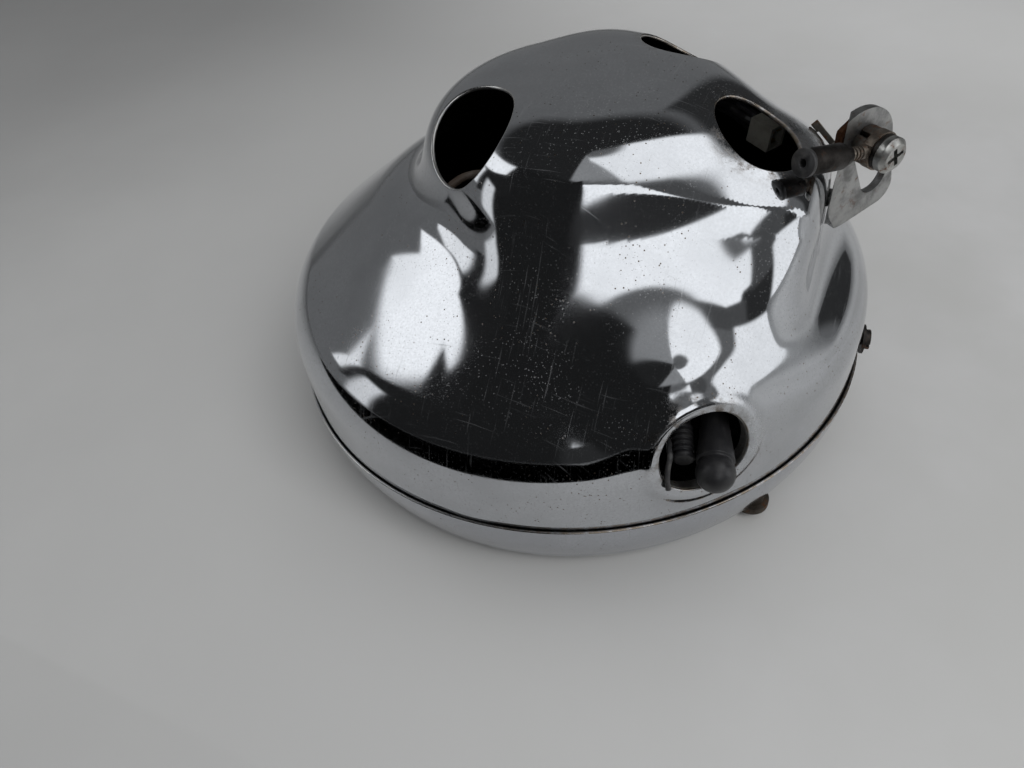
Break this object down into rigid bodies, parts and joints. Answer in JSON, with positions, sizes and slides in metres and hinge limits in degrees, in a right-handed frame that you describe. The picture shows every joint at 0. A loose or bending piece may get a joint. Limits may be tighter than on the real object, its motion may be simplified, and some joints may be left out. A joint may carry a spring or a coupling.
{
  "type": "motorcycle headlight",
  "caption": "Deep chromed headlight bucket with a wide neck, standing lens down in its rim, with an adjuster bracket and a hinged, aimable light unit.",
  "frame": {"origin": "on the lens axis at the front lip of the rim, which is the face that the lamp stands on", "axes": "+Z from the lens towards the back of the lamp, +X from the lens axis towards the rim screw and the adjuster bracket"},
  "size_m": [0.1981, 0.194, 0.1152],
  "materials": {
    "bucket_chrome": "polished, pitted",
    "rim_chrome": "polished",
    "bracket_steel": "dull zinc",
    "rivet_steel": "satin",
    "tarnished_steel": "tarnished",
    "screw_steel": "satin",
    "dark_steel": "satin",
    "rusty_steel": "rusty",
    "black_plastic": "matte",
    "lens_glass": "clear",
    "bulb_glass": "clear",
    "black_rubber": "satin",
    "reflector_mirror": "mirror",
    "ring_steel": "zinc plated",
    "aim_steel": "tarnished",
    "spring_steel": "satin",
    "nylon": "matte",
    "bulb_metal": "satin",
    "brass": "satin",
    "cream_plastic": "matte",
    "black_lead": "satin",
    "brown_lead": "satin"
  },
  "bodies": {
    "rim": {"rim": "rim_chrome", "rim_hook": "bracket_steel", "rim_washer": "dark_steel", "rim_nut": "rivet_steel", "pivot_lugs": "rivet_steel", "pivot_pins": "rivet_steel", "aim_spring": "spring_steel"},
    "shell": {"housing": "bucket_chrome", "bracket": "bracket_steel", "bracket_rivets": "rivet_steel", "stay_tab": "tarnished_steel", "sleeve_long": "black_rubber", "sleeve_short": "black_rubber", "sleeve_leads": "black_lead", "lead_joint": "black_plastic", "hanging_lead": "brown_lead", "bullet_end": "brass", "tie_tail": "black_lead"},
    "unit": {"lens": "lens_glass", "lens_gasket": "black_rubber", "reflector": "reflector_mirror", "unit_ring": "ring_steel", "ring_clips": "rivet_steel", "aim_nut": "nylon", "bulb_glass": "bulb_glass", "bulb_filament": "spring_steel", "bulb_base": "bulb_metal", "bulb_blades": "brass", "bulb_clip": "spring_steel", "dust_boot": "black_rubber", "bulb_plug": "black_plastic", "plug_leads": "black_lead", "connector": "cream_plastic", "connector_pins": "brass"},
    "aim_screw": {"aim_screw": "aim_steel"},
    "rim_screw": {"rim_screw": "dark_steel"},
    "clamp": {"clamp_screw": "screw_steel", "front_washer": "dark_steel", "spring_washer": "tarnished_steel", "back_washer": "rusty_steel", "clamp_nut": "rusty_steel"},
    "eye": {"eye_bolt": "tarnished_steel"},
    "barrel": {"barrel_nut": "tarnished_steel", "barrel_cap": "black_plastic"}
  },
  "joints": [
    {"name": "shell_swing", "type": "hinge", "parent": "rim", "child": "shell", "pos_m": [-0.09321, -0.0136, 0.0305], "axis": [0.1444, -0.9895, 0], "range_deg": [0, 25]},
    {"name": "unit_tilt", "type": "hinge", "parent": "rim", "child": "unit", "pos_m": [0, 0, 0.017], "axis": [0.5225, 0.8526, 0], "range_deg": [-1.2, 1.2], "deforming": ["aim_spring"]},
    {"name": "aim_turn", "type": "hinge", "parent": "rim", "child": "aim_screw", "pos_m": [0.07503, -0.04598, 0.0046], "axis": [0, 0, 1], "range_deg": [-950, 950]},
    {"name": "rim_screw_turn", "type": "hinge", "parent": "rim", "child": "rim_screw", "pos_m": [0.09866, 0.01439, 0.0245], "axis": [0.9895, 0.1444, 0], "range_deg": [0, 1080]},
    {"name": "clamp_slide", "type": "slide", "parent": "shell", "child": "clamp", "axis": [0.2742, 0.3638, -0.8902], "range_m": [0, 0.0135]},
    {"name": "eye_swing", "type": "hinge", "parent": "clamp", "child": "eye", "pos_m": [0.08612, 0.00114, 0.0975], "axis": [-0.7986, 0.6018, 0], "range_deg": [0, 40.6]},
    {"name": "barrel_turn", "type": "hinge", "parent": "eye", "child": "barrel", "pos_m": [0.08612, 0.00114, 0.0975], "axis": [-0.5887, -0.7812, 0.2079], "continuous": true}
  ],
  "couplings": [
    {"joint": "aim_turn", "follows": "unit_tilt", "ratio": 789.9},
    {"joint": "eye_swing", "follows": "clamp_slide", "rad_per_m": 52.36}
  ]
}
